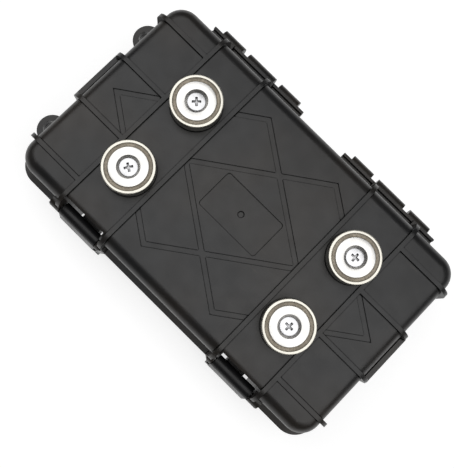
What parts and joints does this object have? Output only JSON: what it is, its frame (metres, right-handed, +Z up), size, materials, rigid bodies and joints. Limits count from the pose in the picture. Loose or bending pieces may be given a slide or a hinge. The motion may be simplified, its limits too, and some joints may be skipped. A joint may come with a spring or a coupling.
{
  "type": "magnetic dry box",
  "caption": "Ribbed waterproof clamshell box with twin hinges, twin latches, lanyard eyes and screwed pot magnets for holding it to steel.",
  "frame": {"origin": "middle of the raised panel on the lid's outer face, on which the closed case rests", "axes": "+X along the length, away from the lanyard eyes; +Y towards the hinges, with the latches on -Y; +Z up through the case to the magnets"},
  "size_m": [0.1605, 0.1026, 0.0483],
  "materials": {
    "case_black": "fine moulded grain",
    "latch_black": "satin moulded",
    "seal_rubber": "matte",
    "pin_steel": "drawn",
    "cup_nickel": "nickel plated",
    "magnet_nickel": "nickel plated, satin",
    "resin_grey": "cast resin",
    "screw_steel": "zinc plated"
  },
  "bodies": {
    "lid": {"lid_shell": "case_black", "lid_seal": "seal_rubber"},
    "base": {"base_shell": "case_black", "hinge_pin_left": "pin_steel", "hinge_pin_right": "pin_steel", "latch_pin_left": "pin_steel", "latch_pin_right": "pin_steel", "magnet_cup_1": "cup_nickel", "magnet_cup_2": "cup_nickel", "magnet_cup_3": "cup_nickel", "magnet_cup_4": "cup_nickel", "magnet_resin_1": "resin_grey", "magnet_resin_2": "resin_grey", "magnet_resin_3": "resin_grey", "magnet_resin_4": "resin_grey", "magnet_ring_1": "magnet_nickel", "magnet_ring_2": "magnet_nickel", "magnet_ring_3": "magnet_nickel", "magnet_ring_4": "magnet_nickel", "magnet_screw_1": "screw_steel", "magnet_screw_2": "screw_steel", "magnet_screw_3": "screw_steel", "magnet_screw_4": "screw_steel", "screw_seal_1": "seal_rubber", "screw_seal_2": "seal_rubber", "screw_seal_3": "seal_rubber", "screw_seal_4": "seal_rubber", "screw_washer_1": "screw_steel", "screw_washer_2": "screw_steel", "screw_washer_3": "screw_steel", "screw_washer_4": "screw_steel", "lock_nut_1": "screw_steel", "lock_nut_2": "screw_steel", "lock_nut_3": "screw_steel", "lock_nut_4": "screw_steel"},
    "latch_left": {"latch_left": "latch_black"},
    "latch_right": {"latch_right": "latch_black"}
  },
  "joints": [
    {"name": "base_hinge", "type": "hinge", "parent": "lid", "child": "base", "pos_m": [0, 0.0502, 0.02215], "axis": [-1, 0, 0], "range_deg": [0, 150]},
    {"name": "latch_left_pivot", "type": "hinge", "parent": "base", "child": "latch_left", "pos_m": [-0.04025, -0.0444, 0.0333], "axis": [-1, 0, 0], "range_deg": [0, 100]},
    {"name": "latch_right_pivot", "type": "hinge", "parent": "base", "child": "latch_right", "pos_m": [0.04025, -0.0444, 0.0333], "axis": [-1, 0, 0], "range_deg": [0, 100]}
  ]
}
